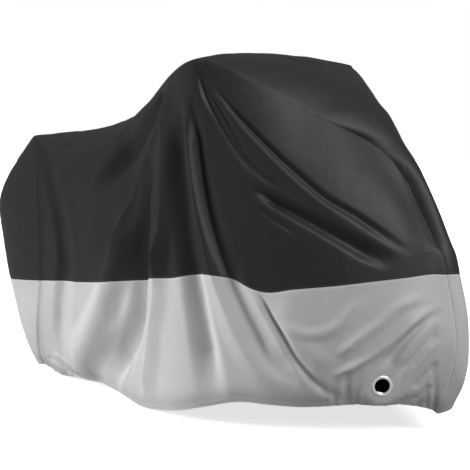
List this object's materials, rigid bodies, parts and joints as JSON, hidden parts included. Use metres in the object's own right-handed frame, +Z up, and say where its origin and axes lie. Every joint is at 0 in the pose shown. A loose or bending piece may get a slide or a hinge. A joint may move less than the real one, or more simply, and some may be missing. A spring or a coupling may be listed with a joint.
{
  "type": "motorcycle cover",
  "caption": "Fitted motorcycle cover in two tones, as it hangs over a motorcycle, with lock eyelets in its skirt.",
  "frame": {"origin": "middle of the bounding box on the level of the ground, at the lowest point of the hem", "axes": "+X to the front wheel, +Y to the far side, +Z up"},
  "size_m": [2.3197, 0.9495, 1.2807],
  "materials": {
    "black_cloth": "black coated polyester taffeta with a soft sheen",
    "silver_cloth": "silver coated polyester taffeta with a satin sheen",
    "eyelet_metal": "bright nickel plate"
  },
  "bodies": {
    "root": {"near_side_upper": "black_cloth", "near_side_lower": "silver_cloth", "lock_eyelet_near": "eyelet_metal", "far_side_upper": "black_cloth", "far_side_lower": "silver_cloth", "lock_eyelet_far": "eyelet_metal", "centre_strip_upper": "black_cloth", "rear_strip_lower": "silver_cloth", "front_strip_lower": "silver_cloth"}
  },
  "joints": []
}
